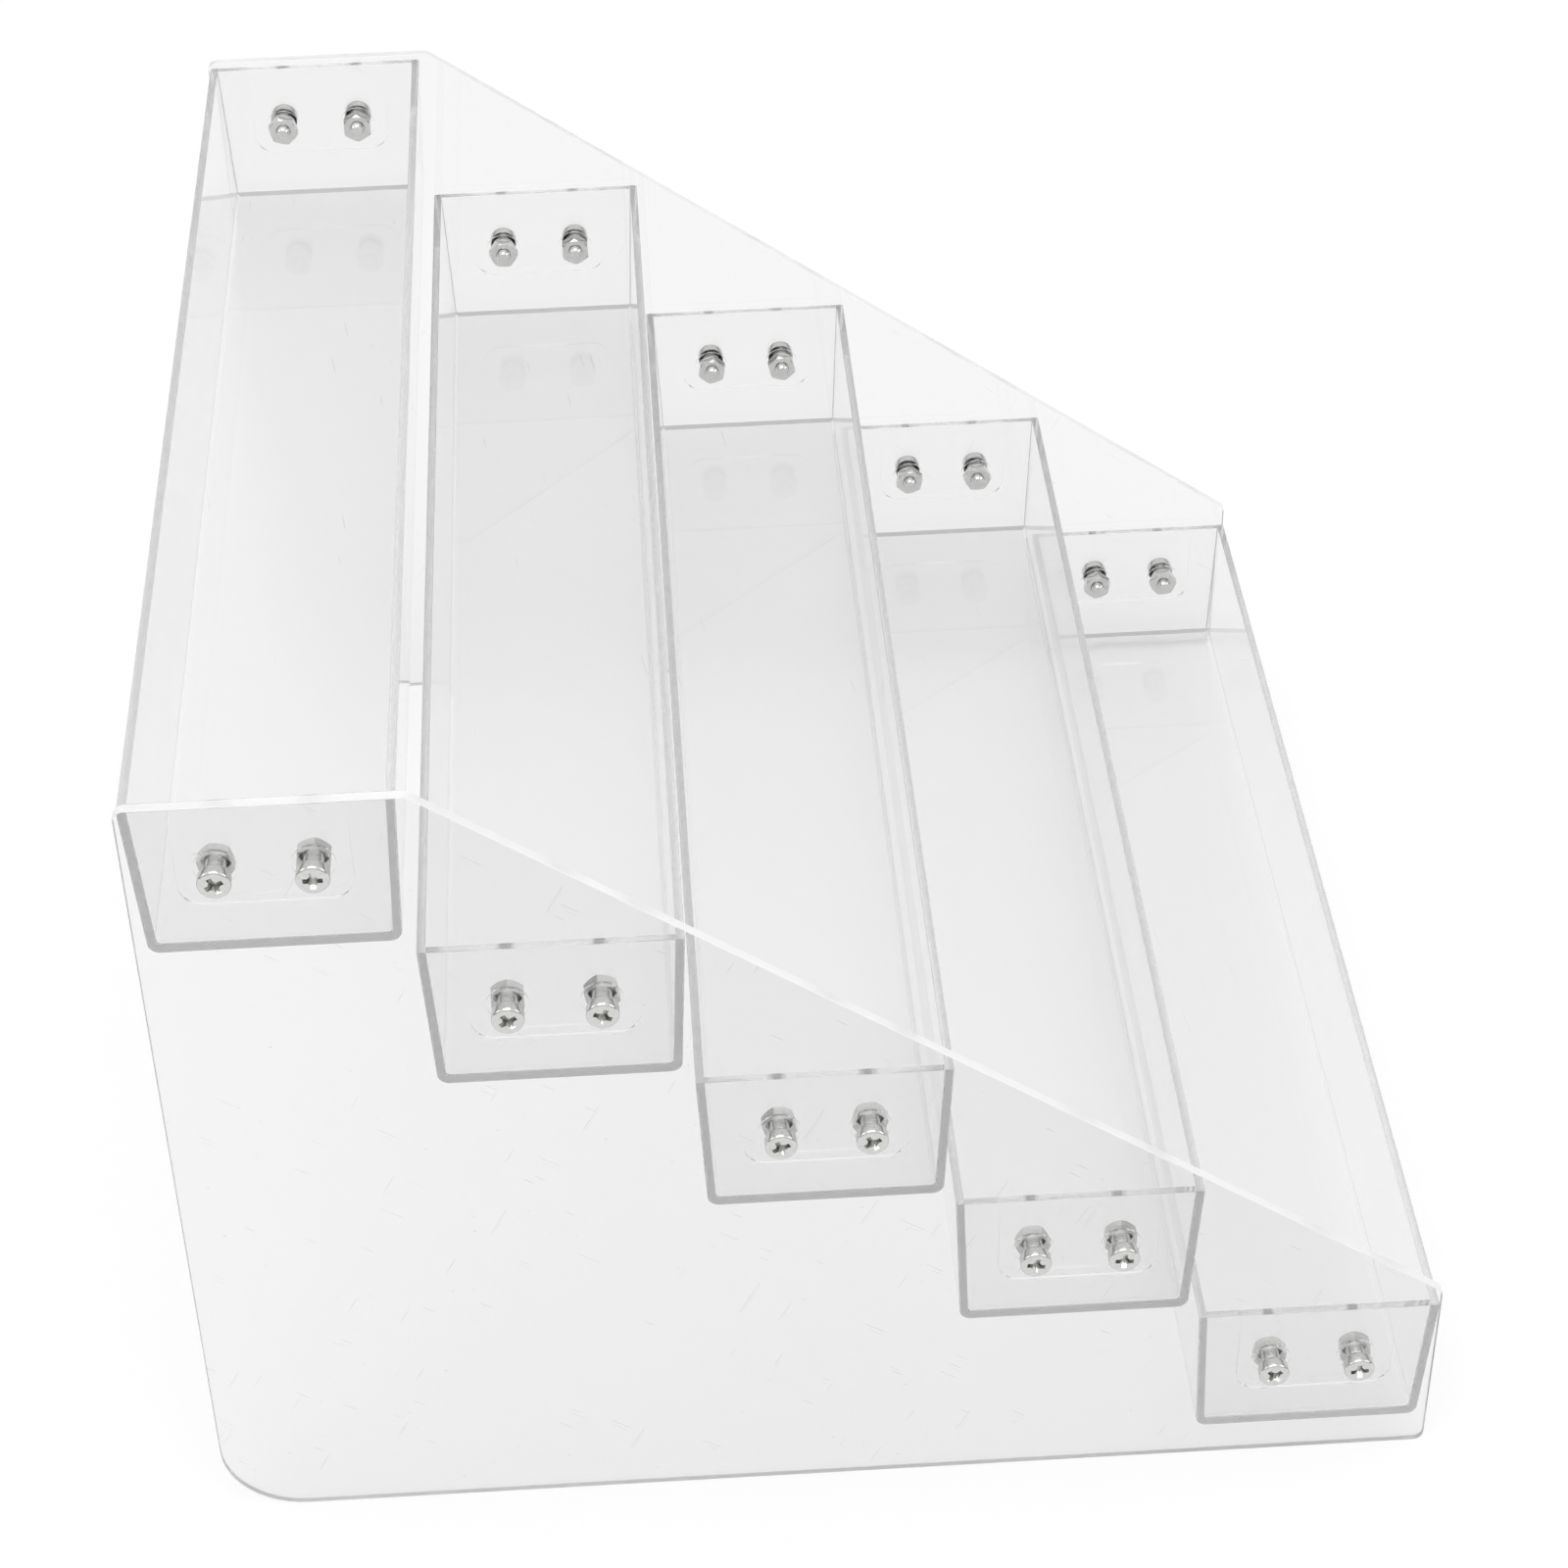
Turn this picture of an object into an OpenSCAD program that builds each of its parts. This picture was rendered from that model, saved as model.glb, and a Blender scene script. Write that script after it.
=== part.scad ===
// Nail polish rack: five clear trays stepped between two side panels, held by screws and nuts.
// X runs along the trays, +Y points to the tall back, +Z up. The origin is on the ground, in the
// middle of the rack's footprint. Tier 1 is the tray at the top and back, tier 5 the lowest in front.

/* [Trays] */
// Length of a tray over its end walls, at the rim
tray_len = 252; // [120:1:500]
// Width of a tray, front to back, at the rim
tray_w = 44; // [34:0.5:80]
// Height of a tray
tray_h = 30.5; // [24:0.5:60]
// Thickness of a tray's walls and floor
tray_wall = 1.5; // [1.2:0.1:3]
// Lean of the tray's walls, from moulding, in degrees
tray_draft = 2.5; // [0.5:0.5:3]
// Radius of the rim's corners, outside
rim_r = 1.2; // [0.5:0.1:1.7]
// Radius where the walls meet the floor, outside
floor_r = 2; // [1:0.1:3]
// Radius where the walls meet the floor, inside
floor_inner_r = 0.8; // [0.4:0.1:2]

/* [Steps] */
// Gap between one tray and the next, front to back
tray_gap = 0.7; // [0.2:0.1:20]
// Drop from one tray to the next
step_rise = 32.2; // [20:0.1:60]

/* [Side panels] */
// Thickness of a side panel
panel_t = 2; // [1.5:0.1:5]
// Panel behind the top tray
back_margin = 0.6; // [0:0.1:10]
// Panel in front of the lowest tray
front_margin = 0; // [0:0.1:10]
// Panel above the top tray's rim
top_margin = 1.1; // [0:0.1:10]
// Panel's flat top edge, past the front of the top tray
nose = 1.7; // [0:0.1:10]
// Panel's front corner above the lowest tray's rim
front_lip = 4.5; // [1:0.1:15]
// Gap under the lowest tray
foot_gap = 4.6; // [1:0.1:30]
// Radius of the panel's lower back corner
heel_r = 15; // [2:0.5:30]
// Radius of the panel's other corners
corner_r = 2; // [0.5:0.1:4]
// Radius where the flat top runs into the slope
crest_r = 3; // [0.5:0.1:6]

/* [Screws and nuts] */
// Distance between the two screws of a tray end
screw_pitch = 15.7; // [10:0.1:20]
// Depth of the screws below the tray's rim
screw_drop = 13.1; // [8:0.1:16]
// Least length of thread that stands past the nut
screw_spare = 1; // [0.5:0.1:3]
// Pitch diameter of the M3 thread, which stands for the thread on the screw and in the nut
thread_d = 2.68; // [2.2:0.01:3.3]
// Gap between screw and nut, all round
thread_gap = 0.03; // [0.01:0.01:0.1]
// Gap between screw and hole, all round
hole_gap = 0.36; // [0.26:0.02:0.6]
// Diameter of the screw head
head_d = 5.6; // [4.6:0.1:7]
// Height of the screw head
head_h = 2.2; // [1.8:0.1:3]
// Width across the flats of the nut
nut_af = 5.5; // [4.5:0.1:7]
// Thickness of the nut
nut_h = 2.4; // [1.8:0.1:3]
// Rim of the round seat past the corners of the nut on it
seat_rim = 0.425; // [0.1:0.005:1]
// Flat pad that meets the panel, to each side of the screws
pad_side = 6.35; // [5:0.05:8]
// Flat pad below the screws
pad_below = 6.5; // [5:0.1:8]
// Radius of the pad's lower corners
pad_r = 4; // [1:0.1:5]

/* [Hidden] */
TIERS = 5;
SIDES = ["left", "right"];

$fn = 64;
hull_fn = 32;                                   // roundness of a hull's balls and discs
sliver = 0.01;                                  // thickness of a hull's end discs

lean = tan(tray_draft);                         // inset of a wall for each mm of depth
step_run = tray_w + tray_gap;                   // distance from one tray to the next
rim_inner_r = max(rim_r - tray_wall, 0.3);      // radius of the rim's corners, inside
panel_d = back_margin + (TIERS - 1) * step_run + tray_w + front_margin;
panel_h = foot_gap + tray_h + (TIERS - 1) * step_rise + top_margin;
back_y = panel_d / 2;
front_y = -panel_d / 2;
crest_y = back_y - back_margin - tray_w - nose;
front_z = foot_gap + tray_h + front_lip;

hole_d = thread_d + 2 * hole_gap;
seat_d = nut_af / cos(30) + 2 * seat_rim;
pad_w = screw_pitch + 2 * pad_side;
pad_h = screw_drop + pad_below;
seat_lip = 0.15;                                // how far the nut seat stands out at its lower edge
clamp_t = tray_wall + (screw_drop + seat_d / 2) * lean + seat_lip;
screw_len = ceil(panel_t + clamp_t + nut_h + screw_spare);
pad_root = tray_wall * 0.8;                     // how deep pad and seat reach into the wall
thread_tip = 0.4;                               // chamfer at the end of the screw
nut_chamfer = 0.35;                             // height of the chamfer on the nut's corners
recess_w = 0.9;                                 // width of an arm of the cross recess
recess_d = 3;                                   // span of the cross recess
recess_depth = 1.3;

// How far each screw and nut happened to be turned when it was tightened, in degrees:
// the back and then the front hole, for each tier from the top.
SCREW_TURNS = [
    [[-27, 0], [-32, 23], [-25, -30], [10, 3], [-42, -5]],
    [[12, -33], [40, 5], [-20, 27], [3, -15], [31, -8]]
];
NUT_TURNS = [
    [[-14, 8], [0, -12], [-16, 18], [30, 2], [12, -3]],
    [[-15, 0], [-27, -2], [10, -14], [11, 30], [8, 24]]
];

// Middle of a tray, front to back, and the height of its rim
function tray_y(tier) = back_y - back_margin - tray_w / 2 - (tier - 1) * step_run;
function rim_z(tier) = panel_h - top_margin - (tier - 1) * step_rise;

// Corners of a side panel with their radii, from the lower back corner round to the top
PANEL_CORNERS = [
    [back_y, 0, heel_r],
    [front_y, 0, corner_r],
    [front_y, front_z, corner_r],
    [crest_y, panel_h, crest_r],
    [back_y, panel_h, corner_r]
];

function unit(v) = v / norm(v);
function corner_xy(i) =
    let (n = len(PANEL_CORNERS), corner = PANEL_CORNERS[(i + n) % n])
    [corner[0], corner[1]];
// Centre of the arc that rounds corner i
function arc_centre(i) =
    let (
        a = unit(corner_xy(i - 1) - corner_xy(i)),
        b = unit(corner_xy(i + 1) - corner_xy(i)),
        half_angle = acos(a * b) / 2
    )
    corner_xy(i) + unit(a + b) * PANEL_CORNERS[i][2] / sin(half_angle);

// Stands a flat shape drawn in Y and Z up as a sheet, from x = x0 to x = x0 + t
module sheet(x0, t) {
    translate([x0, 0, 0])
        multmatrix([[0, 0, 1, 0], [1, 0, 0, 0], [0, 1, 0, 0], [0, 0, 0, 1]])
            linear_extrude(height = t) children();
}

// Puts a part that was drawn along +X for the right end at both holes of one tray end
module at_holes(tier, side) {
    end = side == "right" ? 0 : 1;
    for (k = [0, 1])
        translate([0, tray_y(tier) + (0.5 - k) * screw_pitch, rim_z(tier) - screw_drop])
            mirror([end, 0, 0])
                children(k);
}

module panel_outline() {
    hull()
        for (i = [0 : len(PANEL_CORNERS) - 1])
            translate(arc_centre(i)) circle(r = PANEL_CORNERS[i][2]);
}

module side_panel(side) {
    x0 = side == "right" ? tray_len / 2 : -tray_len / 2 - panel_t;
    color("gainsboro", 0.35)
    difference() {
        sheet(x0, panel_t) panel_outline();
        for (tier = [1 : TIERS], k = [0, 1])
            translate([x0 - 1, tray_y(tier) + (0.5 - k) * screw_pitch, rim_z(tier) - screw_drop])
                rotate([0, 90, 0]) cylinder(d = hole_d, h = panel_t + 2);
    }
}

// A leaning box with round corners, inset from the tray's outside, from the height top down to bottom
module tray_block(inset, rim_radius, ball_r, top, bottom) {
    hull() {
        for (sx = [-1, 1], sy = [-1, 1]) {
            translate([
                sx * (tray_len / 2 - inset - rim_radius + top * lean),
                sy * (tray_w / 2 - inset - rim_radius + top * lean),
                top - sliver
            ]) cylinder(r = rim_radius, h = sliver, $fn = hull_fn);
            translate([
                sx * (tray_len / 2 - inset - ball_r + (bottom + ball_r) * lean),
                sy * (tray_w / 2 - inset - ball_r + (bottom + ball_r) * lean),
                bottom + ball_r
            ]) sphere(r = ball_r, $fn = hull_fn);
        }
    }
}

module pad_outline() {
    square_w = pad_w - 2 * pad_r;
    translate([-pad_w / 2, -pad_h + pad_r]) square([pad_w, pad_h - pad_r]);
    translate([-square_w / 2, -pad_h]) square([square_w, pad_h]);
    for (s = [-1, 1])
        translate([s * square_w / 2, -pad_h + pad_r]) circle(r = pad_r);
}

// The pad outside an end wall and the two nut seats inside it, for the end at +X
module screw_bosses() {
    sheet(tray_len / 2 - pad_root, pad_root) pad_outline();
    for (s = [-1, 1])
        translate([tray_len / 2 - clamp_t, s * screw_pitch / 2, -screw_drop])
            rotate([0, 90, 0]) cylinder(d = seat_d, h = clamp_t - tray_wall / 2);
}

module tray(tier) {
    over = 1;
    color("gainsboro", 0.35)
    translate([0, tray_y(tier), rim_z(tier)])
    difference() {
        union() {
            difference() {
                tray_block(0, rim_r, floor_r, 0, -tray_h);
                tray_block(tray_wall, rim_inner_r, floor_inner_r, over, tray_wall - tray_h);
            }
            screw_bosses();
            mirror([1, 0, 0]) screw_bosses();
        }
        for (end = [0, 1], s = [-1, 1])
            mirror([end, 0, 0])
                translate([tray_len / 2 - clamp_t - over, s * screw_pitch / 2, -screw_drop])
                    rotate([0, 90, 0]) cylinder(d = hole_d, h = clamp_t + 2 * over);
    }
}

// One screw for the end at +X, turned about its own axis
module screw(turn) {
    crown_r = 1.1;                              // radius of the head's rounded edge
    head_x = tray_len / 2 + panel_t;
    translate([head_x, 0, 0]) rotate([turn, 0, 0]) rotate([0, 90, 0])
    difference() {
        rotate_extrude() {
            square([head_d / 2, head_h - crown_r]);
            square([head_d / 2 - crown_r, head_h]);
            translate([head_d / 2 - crown_r, head_h - crown_r]) circle(r = crown_r);
            polygon([
                [0, 0], [thread_d / 2, 0], [thread_d / 2, thread_tip - screw_len],
                [thread_d / 2 - thread_tip, -screw_len], [0, -screw_len]
            ]);
        }
        for (a = [0, 90])
            rotate([0, 0, a])
                translate([-recess_d / 2, -recess_w / 2, head_h - recess_depth])
                    cube([recess_d, recess_w, recess_depth + 1]);
    }
}

// One nut for the end at +X, a corner up before it is turned
module nut(turn) {
    corner = nut_af / 2 / cos(30);
    translate([tray_len / 2 - clamp_t, 0, 0]) rotate([turn, 0, 0]) rotate([0, -90, 0])
    difference() {
        intersection() {
            cylinder(r = corner, h = nut_h, $fn = 6);
            rotate_extrude() polygon([
                [0, 0], [nut_af / 2, 0], [corner, nut_chamfer],
                [corner, nut_h - nut_chamfer], [nut_af / 2, nut_h], [0, nut_h]
            ]);
        }
        translate([0, 0, -1]) cylinder(d = thread_d + 2 * thread_gap, h = nut_h + 2);
    }
}

module screws(tier, side) {
    turns = SCREW_TURNS[side == "left" ? 0 : 1][tier - 1];
    color("silver") at_holes(tier, side) {
        screw(turns[0]);
        screw(turns[1]);
    }
}

module nuts(tier, side) {
    turns = NUT_TURNS[side == "left" ? 0 : 1][tier - 1];
    color("silver") at_holes(tier, side) {
        nut(turns[0]);
        nut(turns[1]);
    }
}

for (side = SIDES)
    side_panel(side);
for (tier = [1 : TIERS])
    tray(tier);
for (tier = [1 : TIERS], side = SIDES) {
    screws(tier, side);
    nuts(tier, side);
}
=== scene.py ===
"""Nail polish rack: five clear trays stepped between two side panels, held by screws and nuts.

Lengths are in metres. X runs along the trays, +Y points to the tall back and +Z up.
Tier 1 is the tray at the top and back, tier 5 the lowest in front.
"""

import math

import bmesh
import bpy
from bpy.props import FloatProperty, FloatVectorProperty, PointerProperty
from mathutils import Euler, Matrix, Vector


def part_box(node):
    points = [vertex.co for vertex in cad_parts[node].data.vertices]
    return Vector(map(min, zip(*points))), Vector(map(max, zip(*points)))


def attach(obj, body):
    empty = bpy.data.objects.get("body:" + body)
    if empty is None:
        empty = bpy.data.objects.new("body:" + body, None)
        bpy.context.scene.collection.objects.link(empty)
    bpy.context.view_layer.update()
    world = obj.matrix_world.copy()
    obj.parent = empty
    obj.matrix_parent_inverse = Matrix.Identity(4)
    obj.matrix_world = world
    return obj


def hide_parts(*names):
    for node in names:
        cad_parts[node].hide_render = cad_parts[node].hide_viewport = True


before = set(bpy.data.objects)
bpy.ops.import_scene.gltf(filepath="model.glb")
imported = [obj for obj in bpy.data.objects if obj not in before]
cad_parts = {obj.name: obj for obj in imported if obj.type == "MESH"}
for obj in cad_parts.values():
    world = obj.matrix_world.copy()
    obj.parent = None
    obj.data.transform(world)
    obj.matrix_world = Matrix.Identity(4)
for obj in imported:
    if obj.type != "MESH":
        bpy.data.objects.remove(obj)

bl_info = {
    "name": "Nail polish rack",
    "version": (1, 0, 0),
    "blender": (4, 5, 0),
    "location": "View3D > Sidebar > Rack",
    "description": "Builds a five-tier rack of clear acrylic trays with its screws and nuts",
    "category": "Object",
}

MM = 0.001
BODY = "root"
TIERS = range(1, 6)
SIDES = ("left", "right")
AIR = 0.03 * MM  # film of air between faces that meet, which keeps each clear face visible
WELD = 0.001 * MM  # corners closer than this are one
ON_PLANE = 1e-7  # metres within which a corner lies on a cutting plane
OVERCUT = 0.2 * MM  # how far a cutter reaches past the face that it cuts
HALF_SIDE = math.radians(30)  # half the angle that a side of a hexagon spans

# How far each screw and nut happened to be turned when it was tightened, in degrees:
# the back and then the front hole, for each tier from the top.
SCREW_TURNS = {
    "left": ((-27, 0), (-32, 23), (-25, -30), (10, 3), (-42, -5)),
    "right": ((12, -33), (40, 5), (-20, 27), (3, -15), (31, -8)),
}
NUT_TURNS = {
    "left": ((-14, 8), (0, -12), (-16, 18), (30, 2), (12, -3)),
    "right": ((-15, 0), (-27, -2), (10, -14), (11, 30), (8, 24)),
}

# Roundness of the shapes, in segments
ARC_STEPS = 12
ARRIS_STEPS = 3
BORE_STEPS = 48
TURNED_STEPS = 64
THREAD_STEPS = 28

# How far the normal of a face goes along an axis that the face is square to
SQUARE = 0.999
NEARLY_SQUARE = 0.99
ROUGHLY_SQUARE = 0.9

ACRYLIC_IOR = 1.49

# The camera, in metres and degrees, on a 36 mm sensor
CAMERA_PLACE = (-0.5785, 0.0282, 0.5176)
CAMERA_TURN = (50.499, 1.273, -93.161)
CAMERA_LENS_MM = 83.31
CAMERA_SHIFT = (0.0221, 0.0563)

# The softboxes, which all face the rack: the place and the side in metres, and the power in watts
SOFTBOXES = {
    "top softbox": ((-0.5, 0.1, 1.2), 0.9, 5),
    "front softbox": ((-0.2, -1.2, 0.8), 0.7, 2),
    "back softbox": ((-0.3, 1.2, 0.9), 0.5, 1),
}


def linear(hex_colour):
    """The linear RGBA of an sRGB hex colour."""
    channels = [int(hex_colour[i : i + 2], 16) / 255 for i in (1, 3, 5)]
    return [c / 12.92 if c <= 0.04045 else ((c + 0.055) / 1.055) ** 2.4 for c in channels] + [1.0]


def length(name, description, default_mm):
    """A length property with its default in millimetres."""
    return FloatProperty(
        name=name, description=description, default=default_mm * MM, min=0.0, unit="LENGTH", precision=5
    )


def colour(name, description, hex_colour):
    """A colour property with its default as an sRGB hex value."""
    return FloatVectorProperty(
        name=name, description=description, default=linear(hex_colour),
        size=4, min=0, max=1, subtype="COLOR",
    )


# ---------------------------------------------------------------- sizes


class RackTraySizes(bpy.types.PropertyGroup):
    """Sizes of a moulded tray that its outside box doesn't give."""

    wall: length("Wall", "Thickness of the walls and the floor", 1.5)
    draft: FloatProperty(
        name="Draft", description="Lean of the walls, from moulding",
        default=math.radians(2.5), subtype="ANGLE",
    )
    end_radius: length("End edge", "Radius of the edges round an end wall, outside", 0.3)
    end_inner_radius: length("End inner edge", "Radius of the edges round an end wall, inside", 0.1)
    floor_radius: length("Floor edge", "Radius where the long walls meet the floor, outside", 2.0)
    floor_inner_radius: length("Floor inner edge", "The same radius on the inside", 0.8)
    rim_arris: length("Rim arris", "Rounding of the rim's edges", 0.12)
    # The strip of this height at the ends of the floor is satin and painted grey, as painted shade for the
    # grey of acrylic seen along its length
    painted_grey_end_height: length("Satin height", "Height of the satin strip at the ends of the floor", 2.0)
    pad_side: length("Pad side", "Flat pad to each side of the screws", 6.35)
    pad_below: length("Pad below", "Flat pad below the screws", 6.5)
    pad_radius: length("Pad corner", "Radius of the pad's lower corners", 4.0)
    pad_root: length("Pad root", "How deep the pad reaches into the wall", 1.2)
    seat_rim: length("Seat rim", "Rim of the nut's round seat past the nut's corners", 0.425)


class RackPanelSizes(bpy.types.PropertyGroup):
    """Sizes of a side panel that its outside box doesn't give."""

    nose: length("Nose", "Flat top edge past the front of the top tray", 1.7)
    front_lip: length("Front lip", "Front corner above the lowest tray's rim", 4.5)
    heel_radius: length("Heel", "Radius of the lower back corner", 15.0)
    corner_radius: length("Corner", "Radius of the other corners", 2.0)
    crest_radius: length("Crest", "Radius where the flat top runs into the slope", 3.0)
    arris: length("Arris", "Rounding of the cut edges", 0.15)


class RackFastenerSizes(bpy.types.PropertyGroup):
    """Sizes of the M3 screws, the nuts and their holes."""

    hole_diameter: length("Hole", "Diameter of the screw holes", 3.4)
    thread_diameter: length("Thread", "Diameter over the crests of the thread", 2.94)
    thread_root: length("Thread root", "Diameter at the bottom of the thread", 2.38)
    thread_pitch: length("Pitch", "Distance from one turn of the thread to the next", 0.5)
    thread_gap: length("Thread gap", "Gap between screw and nut, all round", 0.03)
    thread_tip: length("Thread tip", "Chamfer at the end of the screw", 0.4)
    head_height: length("Head height", "Height of the screw head", 2.2)
    crown_radius: length("Crown", "Radius of the head's rounded edge", 0.5)
    recess_span: length("Recess span", "Span of the cross recess at the top of the head", 3.5)
    recess_width: length("Recess width", "Width of an arm of the cross recess", 0.95)
    recess_heart: length("Recess heart", "Radius of the cone in the middle of the recess", 0.95)
    recess_depth: length("Recess depth", "Depth of the cross recess", 1.5)
    nut_flats: length("Nut flats", "Width across the flats of the nut", 5.5)
    nut_chamfer: length("Nut chamfer", "Height of the chamfer on the nut's corners", 0.35)


class RackFinishes(bpy.types.PropertyGroup):
    """Colours and finishes."""

    sheet: colour("Sheet", "Tint of the cast acrylic sheet", "#F5F5F5")
    cut_edge: colour("Cut edge", "Tint of the sheet's laser-cut edge", "#FAFAFA")
    moulding: colour("Moulding", "Tint of the moulded acrylic", "#F9F9F9")
    rim: colour("Rim", "Tint of a tray's rim", "#F8F8F8")
    # Painted shade: a darker grey tint on the ends of a tray's floor and long walls, standing in for the
    # grey of clear acrylic seen along its length
    end_painted_grey: colour("Tray end", "Tint of the ends of a tray's floor and long walls", "#EEEEEE")
    underside: colour("Underside", "Tint of a tray's underside", "#FFFFFF")
    nickel: colour("Nickel", "Colour of the nickel plating", "#D2D2D0")
    floor: colour("Floor", "Colour of the floor", "#808080")
    floor_glow: colour("Floor glow", "Colour of the light from below the floor", "#FAFAFA")


# ---------------------------------------------------------------- places from the frame


def tray_box(tier):
    """The corners of a tray's box."""
    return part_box(f"tray_{tier}")


def screw_box(tier, side):
    """The corners of the box round the two screws at one end of a tray."""
    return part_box(f"tray_{tier}_{side}_screws")


def hole_points(tier, side):
    """Where the axes of the back and the front screw of one tray end cross the panel's outer face."""
    low, high = screw_box(tier, side)
    head_radius = (high.z - low.z) / 2
    panel_low, panel_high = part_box(f"{side}_side_panel")
    x = panel_low.x if side == "left" else panel_high.x
    z = (low.z + high.z) / 2
    return [Vector((x, high.y - head_radius, z)), Vector((x, low.y + head_radius, z))]


def seat_x():
    """Distance of the nuts' seats from the middle of the rack."""
    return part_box("tray_1_right_nuts")[1].x


# ---------------------------------------------------------------- making and finishing pieces


def new_object(bm, name):
    """A new object with the mesh of bm, which is used up."""
    mesh = bpy.data.meshes.new(name)
    bm.to_mesh(mesh)
    bm.free()
    made = bpy.data.objects.new(name, mesh)
    bpy.context.scene.collection.objects.link(made)
    return made


def add_piece(bm, name, node, slot, *materials):
    """A finished piece that stands for a CAD node. Its faces number their materials."""
    piece = new_object(bm, name)
    for material in materials:
        piece.data.materials.append(material)
    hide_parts(node)
    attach(piece, BODY)
    return piece


def boolean(solid, tool, operation):
    """The bmesh of solid after a Boolean with tool. Both are used up."""
    pair = [new_object(bm, "boolean_work") for bm in (solid, tool)]
    cut = pair[0].modifiers.new("cut", "BOOLEAN")
    cut.operation, cut.solver, cut.object = operation, "EXACT", pair[1]
    result = bmesh.new()
    result.from_object(pair[0], bpy.context.evaluated_depsgraph_get())
    for spent in pair:
        mesh = spent.data
        bpy.data.objects.remove(spent)
        bpy.data.meshes.remove(mesh)
    return result


def join(parts):
    """One bmesh that holds the solids of several, which are used up."""
    whole = bmesh.new()
    for part in parts:
        mesh = bpy.data.meshes.new("join_work")
        part.to_mesh(mesh)
        part.free()
        whole.from_mesh(mesh)
        bpy.data.meshes.remove(mesh)
    return whole


def copy_moved(source, matrix):
    """A copy of a bmesh, moved by a matrix."""
    copy = source.copy()
    bmesh.ops.transform(copy, matrix=matrix, verts=copy.verts)
    return copy


def clean(bm, flat_degrees):
    """Merges doubles, joins faces that are flat within an angle and points all faces outwards."""
    bmesh.ops.remove_doubles(bm, verts=bm.verts, dist=WELD)
    bmesh.ops.dissolve_limit(
        bm, angle_limit=math.radians(flat_degrees), verts=bm.verts, edges=bm.edges,
        use_dissolve_boundaries=False,
    )
    bmesh.ops.recalc_face_normals(bm, faces=bm.faces)
    return bm


def sharp_edges(bm, least_degrees):
    """The edges between two faces that turn by more than that angle."""
    least = math.radians(least_degrees)
    return [e for e in bm.edges if len(e.link_faces) == 2 and e.calc_face_angle() > least]


def shade_smooth(bm):
    """Smooth shading that keeps the sharper edges crisp."""
    for face in bm.faces:
        face.smooth = True
    for edge in sharp_edges(bm, 35):
        edge.smooth = False
    return bm


def round_corner(bm, vert, radius):
    """Rounds the corner of a flat face at vert with an arc of that radius."""
    arms = [(e.other_vert(vert).co - vert.co).normalized() for e in vert.link_edges]
    half_angle = arms[0].angle(arms[1]) / 2
    bmesh.ops.bevel(
        bm, geom=[vert], offset=radius / math.tan(half_angle), affect="VERTICES",
        segments=ARC_STEPS, profile=0.5, material=-1,
    )


def rod_x(radius, x0, x1, y, z):
    """A cylinder along X."""
    bm = bmesh.new()
    place = Matrix.Translation(((x0 + x1) / 2, y, z)) @ Matrix.Rotation(math.pi / 2, 4, "Y")
    bmesh.ops.create_cone(
        bm, cap_ends=True, cap_tris=False, segments=BORE_STEPS,
        radius1=radius, radius2=radius, depth=abs(x1 - x0), matrix=place,
    )
    return bm


# ---------------------------------------------------------------- side panels


def panel_blank(side, sizes):
    """The outline of a side panel as a flat face, where the panel's outer face is."""
    low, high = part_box(f"{side}_side_panel")
    x = low.x + AIR if side == "left" else high.x - AIR
    crest_y = tray_box(1)[0].y - sizes.nose
    front_z = tray_box(5)[1].z + sizes.front_lip
    corners = (
        ((x, high.y, low.z), sizes.heel_radius),
        ((x, low.y, low.z), sizes.corner_radius),
        ((x, low.y, front_z), sizes.corner_radius),
        ((x, crest_y, high.z), sizes.crest_radius),
        ((x, high.y, high.z), sizes.corner_radius),
    )
    bm = bmesh.new()
    verts = [bm.verts.new(place) for place, _ in corners]
    bm.faces.new(verts)
    for vert, (_, radius) in zip(verts, corners):
        round_corner(bm, vert, radius)
    return bm


def side_panel(side, sizes, fasteners):
    """A side panel, with its holes. Its faces number their materials: 1 on the cut edges, or else 0."""
    bm = panel_blank(side, sizes)
    for tier in TIERS:
        for point in hole_points(tier, side):
            bmesh.ops.create_circle(
                bm, cap_ends=False, segments=BORE_STEPS, radius=fasteners.hole_diameter / 2,
                matrix=Matrix.Translation(point) @ Matrix.Rotation(math.pi / 2, 4, "Y"),
            )
    bmesh.ops.delete(bm, geom=bm.faces[:], context="FACES_ONLY")
    bmesh.ops.triangle_fill(bm, use_beauty=True, use_dissolve=False, edges=bm.edges)
    low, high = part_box(f"{side}_side_panel")
    thickness = high.x - low.x - 2 * AIR
    inwards = thickness if side == "left" else -thickness
    made = bmesh.ops.extrude_face_region(bm, geom=bm.faces[:], use_keep_orig=True)
    moved = [v for v in made["geom"] if isinstance(v, bmesh.types.BMVert)]
    bmesh.ops.translate(bm, verts=moved, vec=(inwards, 0, 0))
    bmesh.ops.recalc_face_normals(bm, faces=bm.faces)
    bmesh.ops.bevel(
        bm, geom=sharp_edges(bm, 60), offset=sizes.arris, affect="EDGES",
        segments=ARRIS_STEPS, profile=0.5, material=-1, clamp_overlap=False,
    )
    for face in bm.faces:
        face.material_index = 0 if abs(face.normal.x) > SQUARE else 1
    return bm


# ---------------------------------------------------------------- trays


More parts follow.
